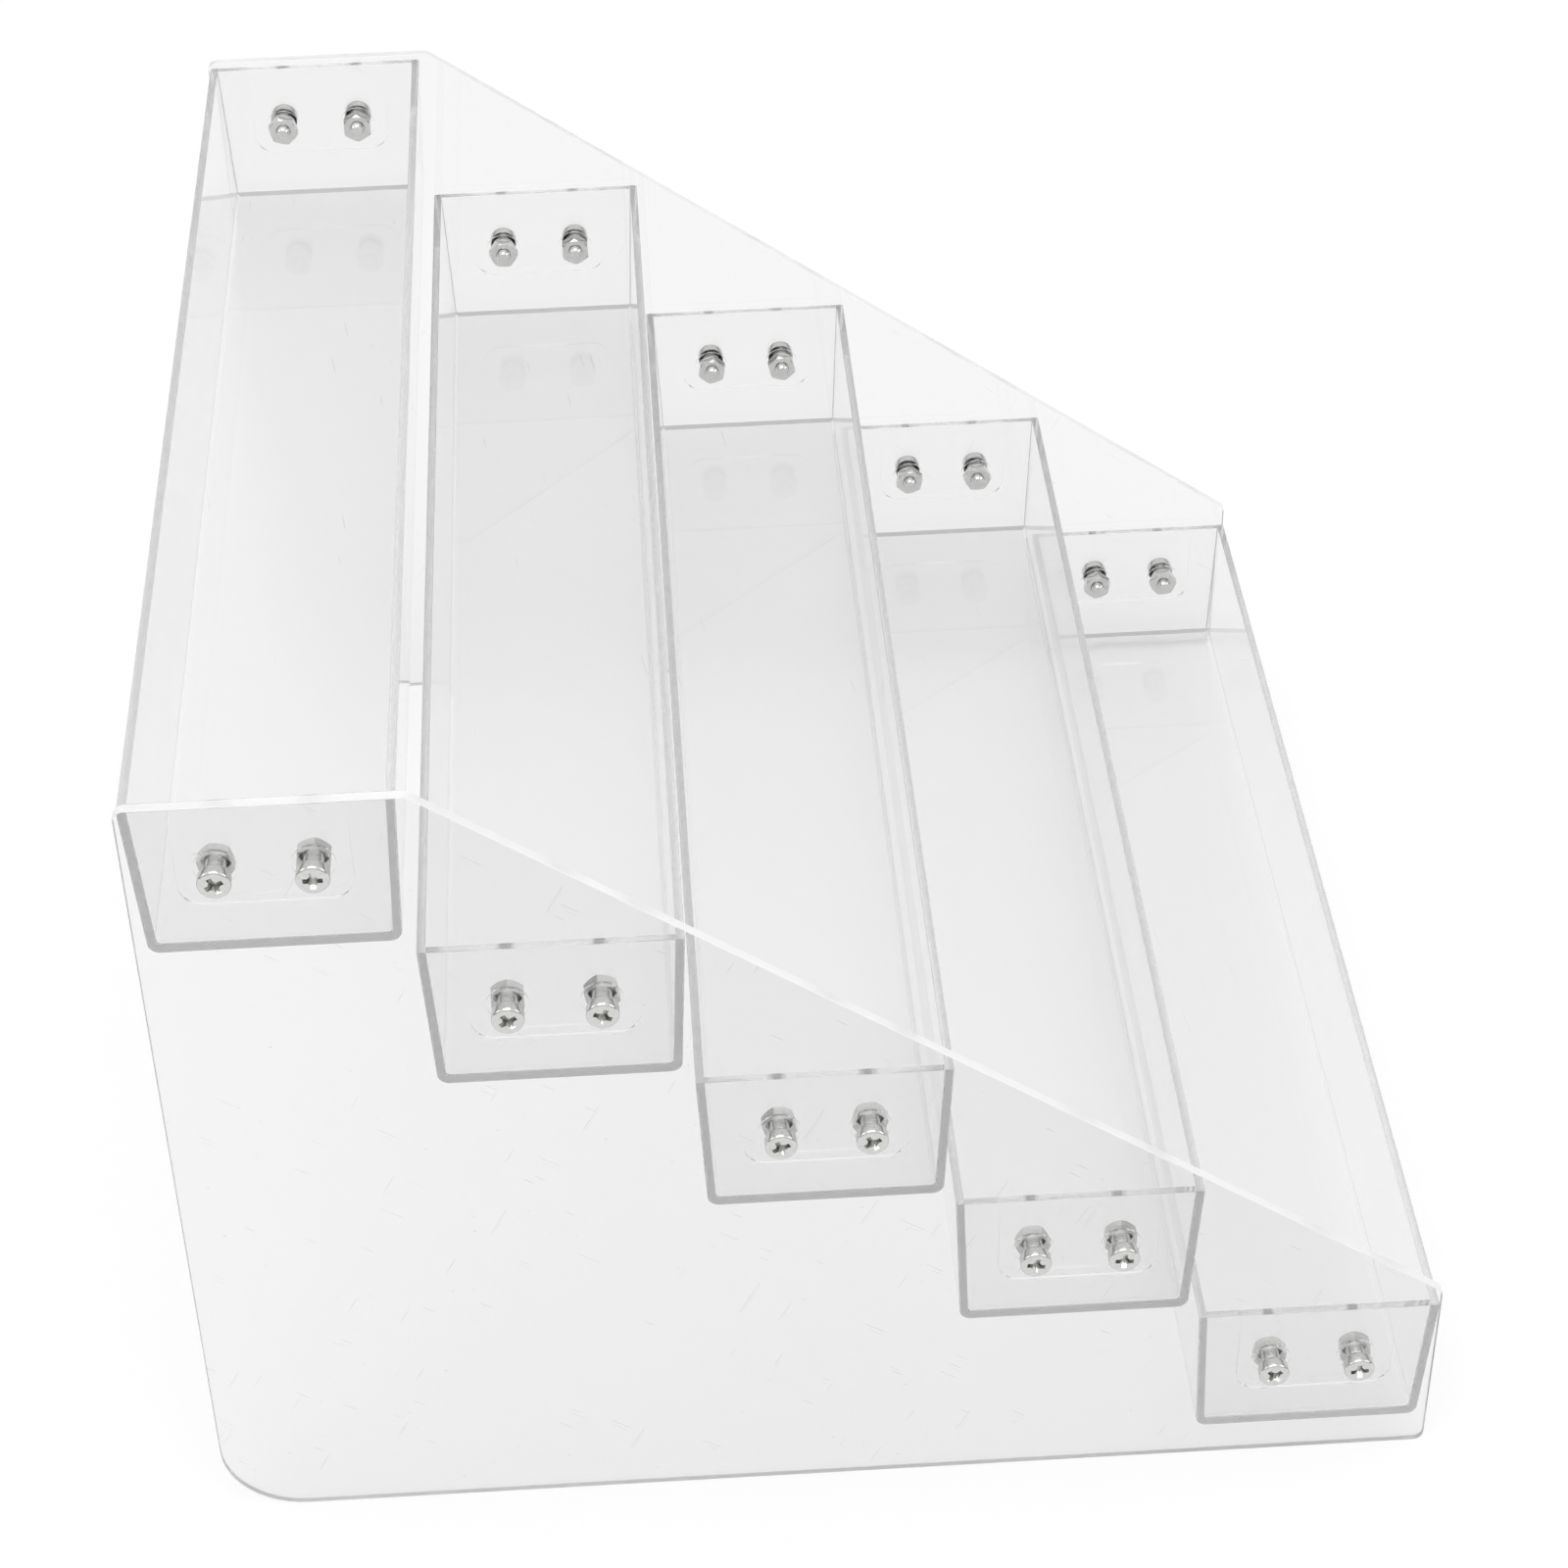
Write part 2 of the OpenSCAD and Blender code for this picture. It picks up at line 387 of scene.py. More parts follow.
def tray_block(box, inset, bottom, long_radius, end_radius, lean):
    """A leaning box with round lower edges, inset from the tray's outside, as a shell open at the top."""
    low, high = box
    centre = (low + high) / 2
    half = Vector((high.x - low.x, high.y - low.y)) / 2 - Vector((inset, inset))
    drop = high.z - bottom
    bm = bmesh.new()
    bmesh.ops.create_cube(bm, size=2.0)
    bmesh.ops.scale(bm, vec=(half.x, half.y, drop / 2), verts=bm.verts)
    shrink = (1 - drop * lean / half.x, 1 - drop * lean / half.y, 1)
    bmesh.ops.scale(bm, vec=shrink, verts=[v for v in bm.verts if v.co.z < 0])
    bmesh.ops.translate(bm, vec=(centre.x, centre.y, (high.z + bottom) / 2), verts=bm.verts)
    low_edges = [e for e in bm.edges if all(v.co.z < centre.z for v in e.verts)]
    long_edges = [e for e in low_edges if runs_along_x(e)]
    bmesh.ops.bevel(
        bm, geom=long_edges, offset=long_radius, affect="EDGES",
        segments=ARC_STEPS, profile=0.5, material=-1,
    )
    ends = [f for f in bm.faces if abs(f.normal.x) > ROUGHLY_SQUARE]
    round_ends = {e for f in ends for e in f.edges} - {e for f in lid(bm) for e in f.edges}
    bmesh.ops.bevel(
        bm, geom=[e for e in bm.edges if e in round_ends], offset=end_radius, affect="EDGES",
        segments=ARRIS_STEPS, profile=0.5, material=-1,
    )
    bmesh.ops.delete(bm, geom=lid(bm), context="FACES_ONLY")
    return bm


def lid(bm):
    """The faces that look up."""
    return [f for f in bm.faces if f.normal.z > ROUGHLY_SQUARE]


def runs_along_x(edge):
    return abs((edge.verts[1].co - edge.verts[0].co).normalized().x) > ROUGHLY_SQUARE


def tray_shell(box, sizes):
    """The moulded box of a tray, open at the top, with a finely rounded rim."""
    lean = math.tan(sizes.draft)
    outside = tray_block(box, 0.0, box[0].z, sizes.floor_radius, sizes.end_radius, lean)
    inside = tray_block(
        box, sizes.wall, box[0].z + sizes.wall, sizes.floor_inner_radius, sizes.end_inner_radius, lean
    )
    # Two loops in one plane bridge badly, so the inside waits 10 mm lower until its rim is bridged
    wait = Vector((0, 0, 10 * MM))
    bmesh.ops.translate(inside, vec=-wait, verts=inside.verts)
    first_inside = len(outside.verts)
    bm = join([outside, inside])
    rim_loops = [e for e in bm.edges if e.is_boundary]
    bmesh.ops.bridge_loops(bm, edges=rim_loops)
    bmesh.ops.translate(bm, vec=wait, verts=bm.verts[first_inside:])
    bmesh.ops.recalc_face_normals(bm, faces=bm.faces)
    bmesh.ops.bevel(
        bm, geom=rim_loops, offset=sizes.rim_arris, affect="EDGES",
        segments=ARRIS_STEPS, profile=0.5, material=-1,
    )
    return bm


def mark_satin_and_painted_grey(bm, box, sizes):
    """Numbers the material of a tray's faces: 1 on the rim, 2 on the ends of its floor and long walls,
    which get painted grey shade,
    3 on the underside and 0 elsewhere. The ends are first cut apart from the rest of the end walls."""
    low, high = box
    outer_rim = high.z - sizes.rim_arris
    middle_y = (low.y + high.y) / 2
    wall = sizes.wall / math.cos(sizes.draft)
    side = Vector((0, math.cos(sizes.draft), -math.sin(sizes.draft)))
    cuts = [
        (Vector((0, high.y - wall, high.z)), side),
        (Vector((0, low.y + wall, high.z)), Vector((0, -side.y, side.z))),
        (Vector((0, middle_y, low.z + sizes.painted_grey_end_height)), Vector((0, 0, -1))),
    ]

    def is_end(face):
        """True for an end wall's outside, which leans, and not for its pad, which doesn't."""
        outwards = face.normal.x if face.calc_center_median().x > 0 else -face.normal.x
        return NEARLY_SQUARE < outwards < math.cos(sizes.draft / 2)

    for place, normal in cuts:
        faces = [f for f in bm.faces if is_end(f)]
        edges = list({e for f in faces for e in f.edges})
        verts = list({v for f in faces for v in f.verts})
        bmesh.ops.bisect_plane(
            bm, geom=faces + edges + verts, dist=ON_PLANE, plane_co=place, plane_no=normal
        )
    for face in bm.faces:
        centre = face.calc_center_median()
        if centre.z > outer_rim:
            face.material_index = 1
        # These end strips get the painted-grey material: painted shade for the grey of clear acrylic seen
        # along its length
        elif is_end(face) and any((centre - place).dot(normal) > 0 for place, normal in cuts):
            face.material_index = 2
        elif face.normal.z < -ROUGHLY_SQUARE and centre.z < low.z + sizes.wall / 2:
            face.material_index = 3
        else:
            face.material_index = 0


def pad(end, box, pitch, drop, sizes):
    """The flat pad outside one end wall, which meets the side panel."""
    low, high = box
    middle_y = (low.y + high.y) / 2
    half = pitch / 2 + sizes.pad_side
    top, bottom = high.z - sizes.rim_arris, high.z - drop - sizes.pad_below
    face_x = high.x if end > 0 else low.x
    bm = bmesh.new()
    verts = [
        bm.verts.new((face_x, middle_y + sy * half, z))
        for sy, z in ((-1, top), (-1, bottom), (1, bottom), (1, top))
    ]
    bm.faces.new(verts)
    for vert in verts[1:3]:
        round_corner(bm, vert, sizes.pad_radius)
    made = bmesh.ops.extrude_face_region(bm, geom=bm.faces[:], use_keep_orig=True)
    moved = [v for v in made["geom"] if isinstance(v, bmesh.types.BMVert)]
    bmesh.ops.translate(bm, verts=moved, vec=(-end * sizes.pad_root, 0, 0))
    bmesh.ops.recalc_face_normals(bm, faces=bm.faces)
    return bm


def tray(sizes, fasteners):
    """The top tray, with its pads, nut seats and holes."""
    box = tray_box(1)
    points = {side: hole_points(1, side) for side in SIDES}
    back, front = points["right"]
    pitch, drop = back.y - front.y, box[1].z - back.z
    seat_radius = fasteners.nut_flats / 2 / math.cos(HALF_SIDE) + sizes.seat_rim
    outer_x, wall_middle = box[1].x, box[1].x - sizes.wall / 2
    bm = tray_shell(box, sizes)
    pads = join([pad(end, box, pitch, drop, sizes) for end in (-1, 1)])
    bm = boolean(bm, pads, "UNION")
    seats = join([
        rod_x(seat_radius, end * (seat_x() + AIR), end * wall_middle, p.y, p.z)
        for end, side in ((-1, "left"), (1, "right")) for p in points[side]
    ])
    bm = boolean(bm, seats, "UNION")
    holes = join([
        rod_x(fasteners.hole_diameter / 2, end * (seat_x() - MM), end * (outer_x + MM), p.y, p.z)
        for end, side in ((-1, "left"), (1, "right")) for p in points[side]
    ])
    bm = clean(boolean(bm, holes, "DIFFERENCE"), 0.3)
    mark_satin_and_painted_grey(bm, box, sizes)
    return bm


# ---------------------------------------------------------------- screws and nuts


def turned(profile):
    """A solid turned about the X axis from a profile of (x, radius) pairs that starts and ends on it."""
    bm = bmesh.new()
    verts = [bm.verts.new((x, 0, radius)) for x, radius in profile]
    edges = [bm.edges.new(pair) for pair in zip(verts, verts[1:])]
    bmesh.ops.spin(
        bm, geom=verts + edges, cent=(0, 0, 0), axis=(1, 0, 0), angle=2 * math.pi,
        steps=TURNED_STEPS, use_merge=True,
    )
    bmesh.ops.remove_doubles(bm, verts=bm.verts, dist=WELD)
    bmesh.ops.recalc_face_normals(bm, faces=bm.faces)
    return bm


def arc(centre_x, centre_r, radius, from_angle, to_angle, steps):
    """Points of an arc for a turned profile, with angles in degrees from +X towards the rim."""
    angles = [math.radians(from_angle + (to_angle - from_angle) * i / steps) for i in range(steps + 1)]
    return [(centre_x + radius * math.cos(a), centre_r + radius * math.sin(a)) for a in angles]


def thread(sizes, x0, x1, gap=0.0):
    """A rod along X with a right-hand M3 thread, from x0 to x1. The thread passes through the origin."""
    pitch = sizes.thread_pitch
    root, crest = sizes.thread_root / 2 + gap, sizes.thread_diameter / 2 + gap
    first, last = math.floor(x0 / pitch) - 2, math.ceil(x1 / pitch) + 2
    # A metric thread: a root flat of a quarter of the pitch and a crest flat of an eighth
    shape = ((0.0, root), (1 / 4, root), (9 / 16, crest), (11 / 16, crest))
    bm = bmesh.new()
    verts = [
        bm.verts.new(((turn + share) * pitch, 0, radius))
        for turn in range(first, last) for share, radius in shape
    ]
    edges = [bm.edges.new(pair) for pair in zip(verts, verts[1:])]
    bmesh.ops.spin(
        bm, geom=verts + edges, cent=(0, 0, 0), axis=(1, 0, 0), dvec=(pitch / THREAD_STEPS, 0, 0),
        angle=2 * math.pi, steps=THREAD_STEPS,
    )
    bmesh.ops.remove_doubles(bm, verts=bm.verts, dist=WELD)
    for x, normal in ((x0, (-1, 0, 0)), (x1, (1, 0, 0))):
        bmesh.ops.bisect_plane(
            bm, geom=bm.verts[:] + bm.edges[:] + bm.faces[:], dist=ON_PLANE,
            plane_co=(x, 0, 0), plane_no=normal, clear_outer=True,
        )
    bmesh.ops.holes_fill(bm, edges=[e for e in bm.edges if e.is_boundary], sides=0)
    bmesh.ops.recalc_face_normals(bm, faces=bm.faces)
    return bm


def recess_wing(sizes, top_x, turn):
    """One arm of the cross recess, which narrows towards its bottom."""
    bottom_width, bottom_span = 0.62, 0.42  # as shares of the width and span at the top
    depth = sizes.recess_depth + OVERCUT
    bm = bmesh.new()
    bmesh.ops.create_cube(bm, size=1.0)
    bmesh.ops.scale(bm, vec=(depth, sizes.recess_width, sizes.recess_span), verts=bm.verts)
    bottom = [v for v in bm.verts if v.co.x < 0]
    bmesh.ops.scale(bm, vec=(1, bottom_width, bottom_span), verts=bottom)
    bmesh.ops.translate(bm, vec=(top_x + OVERCUT - depth / 2, 0, 0), verts=bm.verts)
    spin = Matrix.Rotation(math.radians(turn), 3, "X")
    bmesh.ops.rotate(bm, cent=(0, 0, 0), matrix=spin, verts=bm.verts)
    return bm


def recess_heart(sizes, top_x):
    """The cone in the middle of the cross recess."""
    bottom_x, over_x = top_x - sizes.recess_depth, top_x + OVERCUT
    bottom_radius = 0.3 * sizes.recess_heart
    return turned([
        (bottom_x, 0), (bottom_x, bottom_radius),
        (top_x, sizes.recess_heart), (over_x, sizes.recess_heart), (over_x, 0),
    ])


def screw(sizes, head_diameter, total):
    """A pan-head screw along X, with the underside of its head at the origin and its tip at negative X."""
    radius, height, crown = head_diameter / 2, sizes.head_height, sizes.crown_radius
    under = 0.15 * MM  # radius of the head's lower edge
    in_head = 0.3 * MM  # how far the thread runs into the head
    head = turned(
        [(0, 0), (0, radius - under)]
        + arc(under, radius - under, under, 180, 90, 3)
        + arc(height - crown, radius - crown, crown, 90, 0, 6)
        + [(height, 0)]
    )
    tip_x = height - total
    rod = thread(sizes, tip_x, in_head)
    limit = sizes.thread_diameter / 2
    for vert in rod.verts:
        most = limit - max(0.0, tip_x + sizes.thread_tip - vert.co.x)
        reach = math.hypot(vert.co.y, vert.co.z)
        if reach > most:
            vert.co.y *= most / reach
            vert.co.z *= most / reach
    bm = boolean(head, rod, "UNION")
    for turn in (0, 90):
        bm = boolean(bm, recess_wing(sizes, height, turn), "DIFFERENCE")
    bm = boolean(bm, recess_heart(sizes, height), "DIFFERENCE")
    return clean(bm, 0.05)


def nut(sizes, thickness, seat, phase):
    """A hexagon nut along X with a corner up, from the origin to negative X, cut by the screw's own thread.

    seat is how far the nut's face is from the underside of the screw's head, and phase is how far
    the screw is turned from the nut, in radians."""
    flats, chamfer = sizes.nut_flats / 2, sizes.nut_chamfer
    corner = flats / math.cos(HALF_SIDE)
    widest = corner + 0.02 * MM  # a little past the corners, so that they stay whole
    blank = turned([
        (0, 0), (0, flats), (-chamfer, widest),
        (chamfer - thickness, widest), (-thickness, flats), (-thickness, 0),
    ])
    prism = bmesh.new()
    place = Matrix.Translation((-thickness / 2, 0, 0)) @ Matrix.Rotation(math.pi / 2, 4, "Y")
    bmesh.ops.create_cone(
        prism, cap_ends=True, cap_tris=False, segments=6,
        radius1=corner, radius2=corner, depth=thickness + MM, matrix=place,
    )
    top = max(prism.verts, key=lambda v: v.co.z).co
    turn_up = math.atan2(top.y, top.z)
    bmesh.ops.rotate(prism, cent=(0, 0, 0), matrix=Matrix.Rotation(turn_up, 3, "X"), verts=prism.verts)
    bm = boolean(blank, prism, "INTERSECT")
    bore = thread(sizes, -seat - thickness - MM, MM - seat, sizes.thread_gap)
    bmesh.ops.translate(bore, vec=(seat, 0, 0), verts=bore.verts)
    bmesh.ops.rotate(bore, cent=(0, 0, 0), matrix=Matrix.Rotation(phase, 3, "X"), verts=bore.verts)
    bm = boolean(bm, bore, "DIFFERENCE")
    sink, mouth = 0.3 * MM, sizes.thread_diameter / 2 + 0.1 * MM
    for x, towards in ((0, 1), (-thickness, -1)):
        cone = turned([
            (x - towards * 2 * sink, 0), (x - towards * sink, mouth - sink),
            (x + towards * sink, mouth + sink), (x + towards * sink, 0),
        ])
        bm = boolean(bm, cone, "DIFFERENCE")
    return clean(bm, 0.05)


def placed(source, side, turn, point):
    """A copy of a fastener made along +X, turned and put at a hole of one side."""
    facing = Matrix.Identity(4) if side == "right" else Matrix.Rotation(math.pi, 4, "Z")
    spin = math.radians(turn if side == "right" else -turn)
    return copy_moved(source, Matrix.Translation(point) @ facing @ Matrix.Rotation(spin, 4, "X"))


# ---------------------------------------------------------------- materials


def add_node(tree, kind, settings=None, links=None):
    """Adds a shader node. settings are its own properties or its inputs, and links the inputs' sources."""
    node = tree.nodes.new(kind)
    for key, value in (settings or {}).items():
        if key in node.inputs:
            node.inputs[key].default_value = value
        else:
            setattr(node, key, value)
    for key, source in (links or {}).items():
        tree.links.new(source, node.inputs[key])
    return node


def new_material(name, settings):
    """A material with one Principled shader."""
    material = bpy.data.materials.new(name)
    material.use_nodes = True
    tree = material.node_tree
    tree.nodes.clear()
    shader = add_node(tree, "ShaderNodeBsdfPrincipled", settings)
    output = add_node(tree, "ShaderNodeOutputMaterial")
    tree.links.new(shader.outputs["BSDF"], output.inputs["Surface"])
    return material, tree, shader


def noise(tree, cell_mm, detail, turn=(0, 0, 0)):
    """Noise in cells of that size, turned by that many degrees about X, Y and Z."""
    place = add_node(tree, "ShaderNodeTexCoord").outputs["Object"]
    cells = add_node(tree, "ShaderNodeMapping", {
        "vector_type": "TEXTURE", "Scale": [size * MM for size in cell_mm],
        "Rotation": [math.radians(angle) for angle in turn],
    }, {"Vector": place})
    return add_node(
        tree, "ShaderNodeTexNoise", {"Scale": 1.0, "Detail": detail}, {"Vector": cells.outputs["Vector"]}
    ).outputs["Fac"]


def peaks(tree, cell_mm, level, turn=(0, 0, 0)):
    """A mask of the few spots where noise in cells of that size rises above a level."""
    softness = 0.04
    return add_node(tree, "ShaderNodeMapRange", {
        "From Min": level, "From Max": level + softness,
    }, {"Value": noise(tree, cell_mm, 0.0, turn)}).outputs["Result"]


def combined(tree, operation, masks):
    """The masks combined by a math operation, two at a time."""
    result = masks[0]
    for mask in masks[1:]:
        node = add_node(tree, "ShaderNodeMath", {"operation": operation})
        tree.links.new(result, node.inputs[0])
        tree.links.new(mask, node.inputs[1])
        result = node.outputs["Value"]
    return result


def emboss(tree, shader, height, distance_mm):
    """Gives the surface a relief that stands that many millimetres high where the height is 1."""
    relief = add_node(tree, "ShaderNodeBump", {
        "Distance": distance_mm * MM, "Strength": 1.0,
    }, {"Height": height})
    tree.links.new(relief.outputs["Normal"], shader.inputs["Normal"])


def vary(tree, shader, socket, mask, low, high):
    """Drives a number of the shader from low to high as the mask rises from 0 to 1."""
    amount = add_node(tree, "ShaderNodeMapRange", {"To Min": low, "To Max": high}, {"Value": mask})
    tree.links.new(amount.outputs["Result"], shader.inputs[socket])


def new_acrylic(name, tint, transmission, roughness):
    """An acrylic that lets a share of the light through and scatters the rest at its surface."""
    return new_material(name, {
        "Base Color": tint, "IOR": ACRYLIC_IOR,
        "Transmission Weight": transmission, "Roughness": roughness,
    })


def cast_acrylic(finishes):
    """Cast acrylic sheet, clear and glossy: hairline scratches from handling and a few specks of dust.

    Real hairlines are some 0.02 mm wide, so they are drawn ten times as wide to show at all."""
    material, tree, shader = new_acrylic("cast acrylic", finishes.sheet, 1.0, 0.0)
    rising = peaks(tree, (14.0, 0.2, 14.0), 0.855, (28, 0, 0))
    falling = peaks(tree, (9.0, 0.2, 9.0), 0.855, (-56, 0, 0))
    specks = peaks(tree, (0.7, 0.7, 0.7), 0.85)
    worn = combined(tree, "MAXIMUM", [rising, falling, specks])
    emboss(tree, shader, worn, 0.02)
    vary(tree, shader, "Roughness", worn, 0.0, 0.2)
    return material


def laser_cut_edge(finishes):
    """The edge of the sheet, laser cut: satin and pale, so it glows, with fine lines across the sheet."""
    material, tree, shader = new_acrylic("laser-cut acrylic edge", finishes.cut_edge, 0.42, 0.35)
    emboss(tree, shader, noise(tree, (20.0, 0.5, 0.5), 2.0), 0.05)
    return material


def rim_acrylic(finishes):
    """The rim of a tray, where the mould parts: clear, with the faint satin of its parting line."""
    material, tree, shader = new_acrylic("satin moulded acrylic", finishes.rim, 0.85, 0.2)
    grain = noise(tree, (3.0, 3.0, 0.6), 2.0)
    vary(tree, shader, "Roughness", grain, 0.12, 0.28)
    emboss(tree, shader, grain, 0.002)
    return material


def end_painted_grey_acrylic(finishes):
    """The end of a tray's floor and long walls, satin, with a grey tint and less light through: painted
    shade that stands in for the grey clear acrylic shows when seen along its length.
    """
    material, tree, shader = new_acrylic("painted-grey end acrylic", finishes.end_painted_grey, 0.45, 0.4)
    grain = noise(tree, (1.0, 2.5, 2.5), 2.0)
    vary(tree, shader, "Roughness", grain, 0.3, 0.5)
    emboss(tree, shader, grain, 0.02)
    return material


def underside_acrylic(finishes):
    """The underside of a tray, with the fine satin of an unpolished mould: what lies behind it blurs."""
    material, tree, shader = new_acrylic("satin underside acrylic", finishes.underside, 1.0, 0.33)
    grain = noise(tree, (2.0, 2.0, 2.0), 2.0)
    vary(tree, shader, "Roughness", grain, 0.29, 0.37)
    emboss(tree, shader, grain, 0.005)
    return material


def moulded_acrylic(finishes):
    """Injection-moulded acrylic, clear and glossy: faint waves where the melt flowed, scuffs and specks.

    The scuffs run mostly along the tray, as bottles slide, and are drawn wider than the real ones."""
    material, tree, shader = new_acrylic("moulded acrylic", finishes.moulding, 1.0, 0.0)
    scuffs = peaks(tree, (14.0, 0.26, 0.26), 0.85, (0, 0, 8))
    specks = peaks(tree, (0.7, 0.7, 0.7), 0.86)
    worn = combined(tree, "MAXIMUM", [scuffs, specks])
    flow = noise(tree, (60.0, 16.0, 16.0), 1.0)
    emboss(tree, shader, combined(tree, "ADD", [worn, flow]), 0.02)
    vary(tree, shader, "Roughness", worn, 0.0, 0.2)
    return material


def nickel_plated_steel(finishes):
    """Nickel-plated steel: bright, a little warm, with the soft grain and dull spots of barrel plating."""
    material, tree, shader = new_material("nickel-plated steel", {
        "Base Color": finishes.nickel, "Metallic": 1.0, "Roughness": 0.1,
    })
    grain = noise(tree, (0.7, 0.7, 0.7), 3.0)
    tint = add_node(tree, "ShaderNodeMix", {"data_type": "RGBA"}, {"Factor": grain})
    shades = [k for k in tint.inputs if k.type == "RGBA"]
    for shade, share in zip(shades, (0.82, 1.12)):  # the plating's duller and its brighter spots
        shade.default_value = [share * channel for channel in finishes.nickel[:3]] + [1.0]
    mixed = next(k for k in tint.outputs if k.type == "RGBA")
    tree.links.new(mixed, shader.inputs["Base Color"])
    vary(tree, shader, "Roughness", grain, 0.04, 0.2)
    emboss(tree, shader, grain, 0.01)
    return material


def opal_acrylic(finishes):
    """Opal acrylic for the floor: a matt, pale table, softly lit from below, and a little cloudy."""
    material, tree, shader = new_material("opal acrylic", {
        "Base Color": finishes.floor, "Roughness": 0.9, "Specular IOR Level": 0.1,
        "Emission Color": finishes.floor_glow, "Emission Strength": 0.8,
    })
    cloud = noise(tree, (90.0, 90.0, 90.0), 2.0)
    vary(tree, shader, "Roughness", cloud, 0.8, 1.0)
    emboss(tree, shader, cloud, 0.1)
    return material


# ---------------------------------------------------------------- operators


class RackOperator:
    """What the rack's operators share."""

    bl_options = {"REGISTER", "UNDO"}

    def execute(self, context):
        self.make(context.scene)
        return {"FINISHED"}


class RACK_OT_side_panels(RackOperator, bpy.types.Operator):
    """Make the two side panels of cast acrylic sheet"""

    bl_idname = "rack.side_panels"
    bl_label = "Side panels"

    def make(self, scene):
        materials = cast_acrylic(scene.rack_finishes), laser_cut_edge(scene.rack_finishes)
        for side in SIDES:
            bm = side_panel(side, scene.rack_panel, scene.rack_fasteners)
            add_piece(bm, f"{side}_panel_sheet", f"{side}_side_panel", "side_panel", *materials)


class RACK_OT_trays(RackOperator, bpy.types.Operator):
    """Make the five moulded trays"""

    bl_idname = "rack.trays"
    bl_label = "Trays"

    def make(self, scene):
        finishes = scene.rack_finishes
        materials = [
            make(finishes) for make in (moulded_acrylic, rim_acrylic, end_painted_grey_acrylic, underside_acrylic)
        ]
        pattern = tray(scene.rack_tray, scene.rack_fasteners)
        top = tray_box(1)[0]
        for tier in TIERS:
            bm = copy_moved(pattern, Matrix.Translation(tray_box(tier)[0] - top))
            add_piece(bm, f"tray_{tier}_moulding", f"tray_{tier}", "tray", *materials)
        pattern.free()


class RACK_OT_screws(RackOperator, bpy.types.Operator):
    """Make the pan-head screws, two at each end of each tray"""

    bl_idname = "rack.screws"
    bl_label = "Screws"

    def make(self, scene):
        material = nickel_plated_steel(scene.rack_finishes)
        low, high = screw_box(1, "right")
        pattern = shade_smooth(screw(scene.rack_fasteners, high.z - low.z, high.x - low.x))
        for side in SIDES:
            for tier in TIERS:
                turns = SCREW_TURNS[side][tier - 1]
                pair = [placed(pattern, side, *spot) for spot in zip(turns, hole_points(tier, side))]
                name = f"tray_{tier}_{side}_screw"
                add_piece(join(pair), f"{name}_pair", f"{name}s", "screw", material)
        pattern.free()


class RACK_OT_nuts(RackOperator, bpy.types.Operator):
    """Make the hexagon nuts, one on each screw"""

    bl_idname = "rack.nuts"
    bl_label = "Nuts"

    def make(self, scene):
        material = nickel_plated_steel(scene.rack_finishes)
        low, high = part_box("tray_1_right_nuts")
        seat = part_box("right_side_panel")[1].x - high.x
        for side in SIDES:
            for tier in TIERS:
                pair = []
                for k, point in enumerate(hole_points(tier, side)):
                    turn = NUT_TURNS[side][tier - 1][k]
                    lag = SCREW_TURNS[side][tier - 1][k] - turn
                    phase = math.radians(lag if side == "right" else -lag)
                    pattern = shade_smooth(nut(scene.rack_fasteners, high.x - low.x, seat, phase))
                    end = 1 if side == "right" else -1
                    pair.append(placed(pattern, side, turn, point - Vector((end * seat, 0, 0))))
                    pattern.free()
                name = f"tray_{tier}_{side}_nut"
                add_piece(join(pair), f"{name}_pair", f"{name}s", "nut", material)


class RACK_OT_stage(RackOperator, bpy.types.Operator):
    """Make the floor, the lights and the camera"""

    bl_idname = "rack.stage"
    bl_label = "Stage"

    def make(self, scene):
        add_floor(scene)
        add_lights(scene)
        add_camera(scene)


def add_floor(scene):
    half_side = 4.0
    bm = bmesh.new()
    bmesh.ops.create_grid(
        bm, x_segments=1, y_segments=1, size=half_side, matrix=Matrix.Translation((0, 0, -AIR))
    )
    floor = new_object(bm, "floor")
    floor.data.materials.append(opal_acrylic(scene.rack_finishes))


def add_softbox(scene, name, place, size, power):
    light = bpy.data.lights.new(name, "AREA")
    light.shape, light.size, light.energy = "SQUARE", size, power
    lamp = bpy.data.objects.new(name, light)
    lamp.location = place
    lamp.rotation_euler = (-Vector(place)).to_track_quat("-Z", "Y").to_euler()
    scene.collection.objects.link(lamp)


def add_world(scene):
    """A room that is bright overhead, with greyer walls low down at both sides and behind the viewer."""
    world = bpy.data.worlds.new("studio")
    world.use_nodes = True
    tree = world.node_tree
    way = add_node(tree, "ShaderNodeSeparateXYZ", links={
        "Vector": add_node(tree, "ShaderNodeTexCoord").outputs["Generated"],
    })
    walls = add_node(tree, "ShaderNodeMapRange", {
        "interpolation_type": "SMOOTHSTEP",
        "From Min": 0.05, "From Max": 0.45, "To Min": 0.45, "To Max": 1.0,
    }, {"Value": way.outputs["Z"]})
    ahead = add_node(tree, "ShaderNodeMapRange", {
        "interpolation_type": "SMOOTHSTEP",
        "From Min": 0.75, "From Max": 0.95, "To Min": 0.0, "To Max": 1.0,
    }, {"Value": way.outputs["X"]})
    glow = combined(tree, "MAXIMUM", [walls.outputs["Result"], ahead.outputs["Result"]])
    background = tree.nodes["Background"]
    tree.links.new(glow, background.inputs["Strength"])
    background.inputs["Color"].default_value = (1, 1, 1, 1)
    scene.world = world


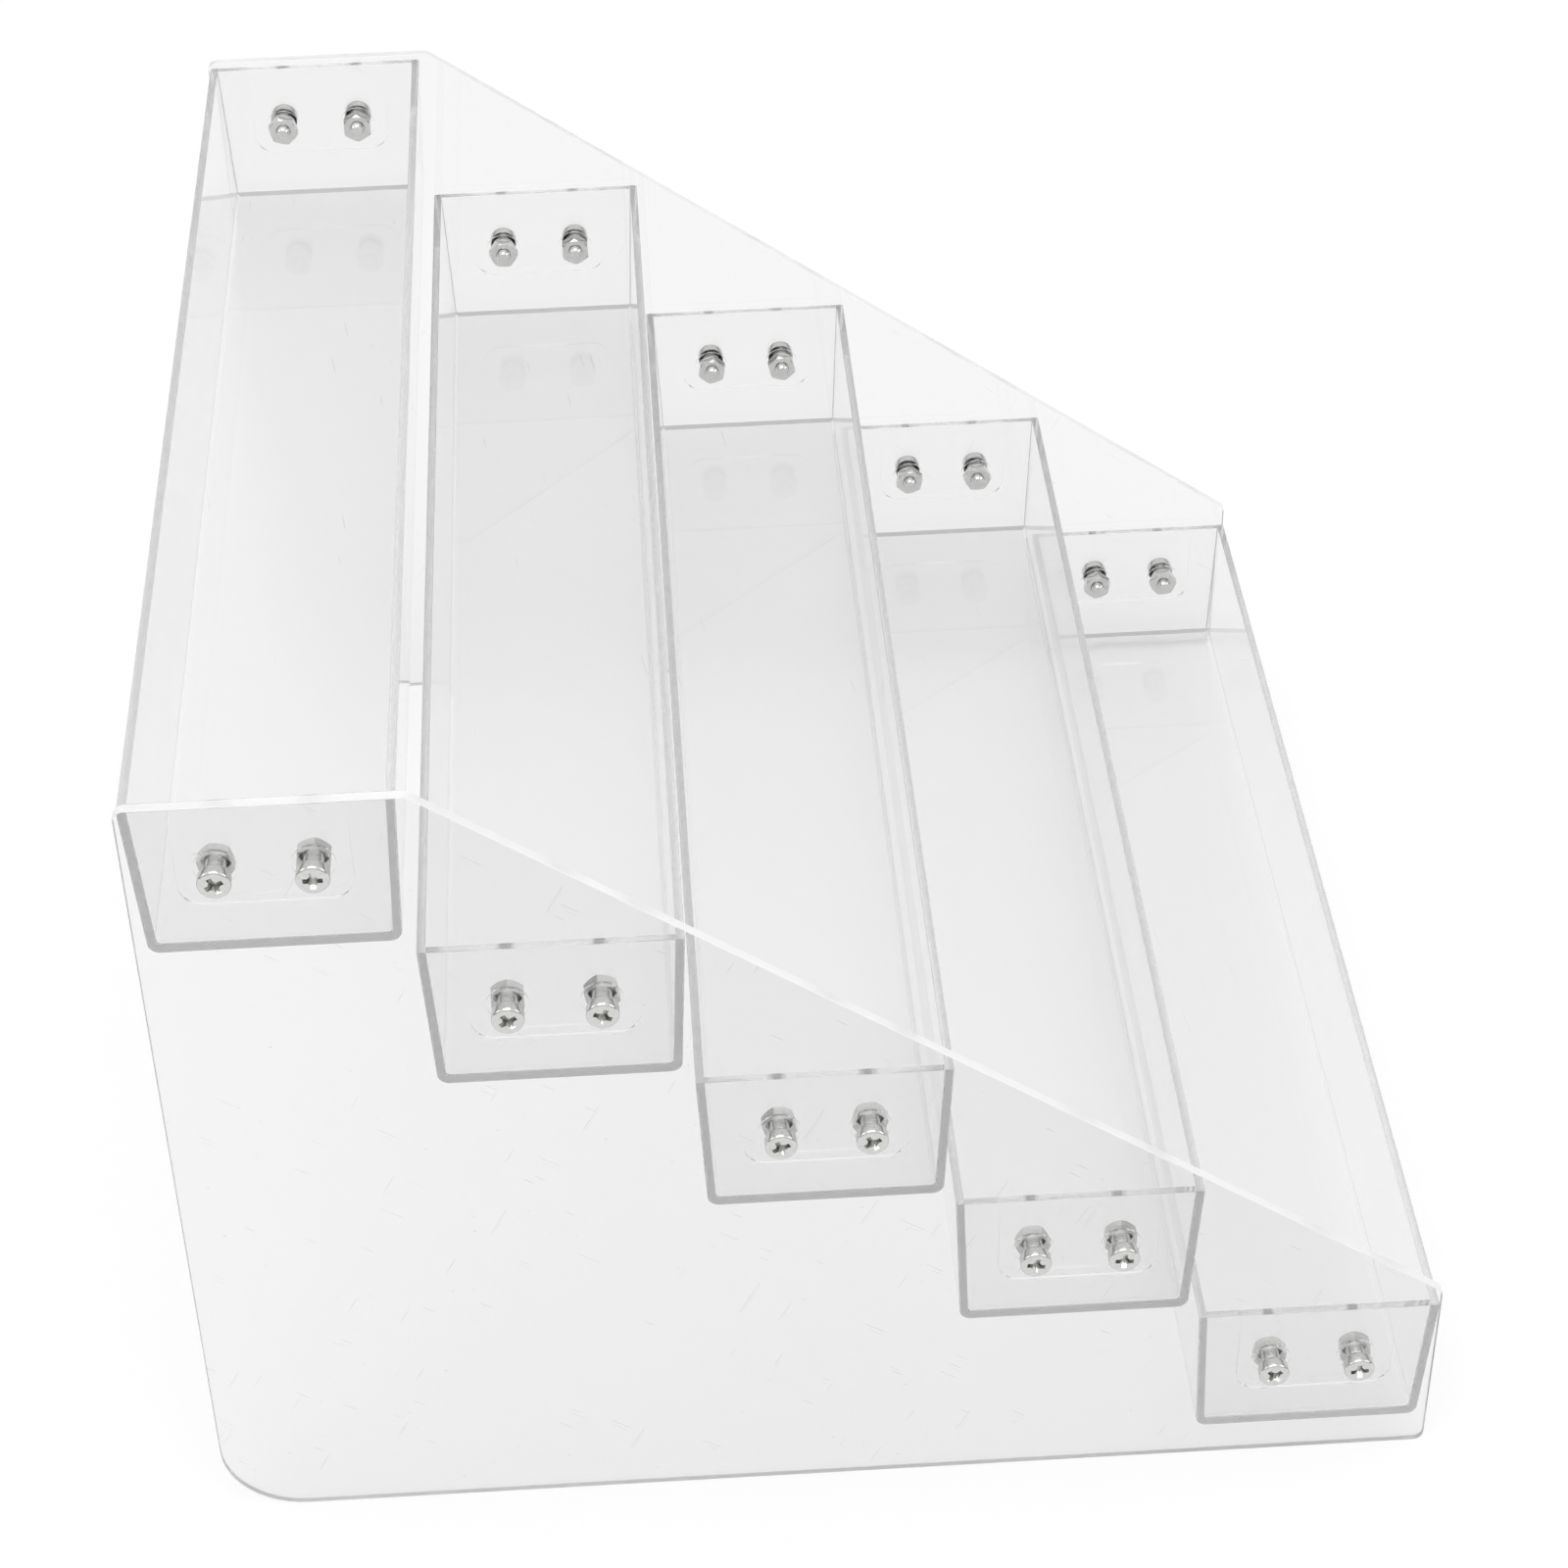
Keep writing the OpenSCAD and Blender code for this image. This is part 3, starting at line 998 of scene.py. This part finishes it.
def add_lights(scene):
    for name, (place, size, power) in SOFTBOXES.items():
        add_softbox(scene, name, place, size, power)
    add_world(scene)
    scene.view_settings.view_transform = "Standard"
    # Light crosses many clear faces, and to and fro inside them, before it leaves the rack
    scene.cycles.max_bounces = 256
    scene.cycles.transmission_bounces = 256
    scene.cycles.glossy_bounces = 64


def add_camera(scene):
    data = bpy.data.cameras.new("camera")
    data.sensor_width, data.lens = 36.0, CAMERA_LENS_MM
    data.shift_x, data.shift_y = CAMERA_SHIFT
    camera = bpy.data.objects.new("camera", data)
    camera.location = CAMERA_PLACE
    camera.rotation_euler = Euler([math.radians(angle) for angle in CAMERA_TURN], "XYZ")
    scene.collection.objects.link(camera)
    scene.camera = camera


class RACK_PT_panel(bpy.types.Panel):
    """Lists what the rack is made of"""

    bl_idname = "RACK_PT_panel"
    bl_label = "Nail polish rack"
    bl_space_type = "VIEW_3D"
    bl_region_type = "UI"
    bl_category = "Rack"

    def draw(self, context):
        for name, group in PROPERTY_GROUPS.items():
            settings = getattr(context.scene, name)
            for key in group.__annotations__:
                self.layout.prop(settings, key)
        for operator in OPERATORS:
            self.layout.operator(operator.bl_idname)


PROPERTY_GROUPS = {
    "rack_tray": RackTraySizes,
    "rack_panel": RackPanelSizes,
    "rack_fasteners": RackFastenerSizes,
    "rack_finishes": RackFinishes,
}
OPERATORS = (
    RACK_OT_side_panels,
    RACK_OT_trays,
    RACK_OT_screws,
    RACK_OT_nuts,
    RACK_OT_stage,
)


def register():
    for name, group in PROPERTY_GROUPS.items():
        bpy.utils.register_class(group)
        setattr(bpy.types.Scene, name, PointerProperty(type=group))
    for made in (*OPERATORS, RACK_PT_panel):
        bpy.utils.register_class(made)


def unregister():
    for made in (RACK_PT_panel, *reversed(OPERATORS)):
        bpy.utils.unregister_class(made)
    for name, group in PROPERTY_GROUPS.items():
        delattr(bpy.types.Scene, name)
        bpy.utils.unregister_class(group)


def main():
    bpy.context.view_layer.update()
    register()
    bpy.ops.rack.side_panels()
    bpy.ops.rack.trays()
    bpy.ops.rack.screws()
    bpy.ops.rack.nuts()
    bpy.ops.rack.stage()


if __name__ == "__main__":
    main()
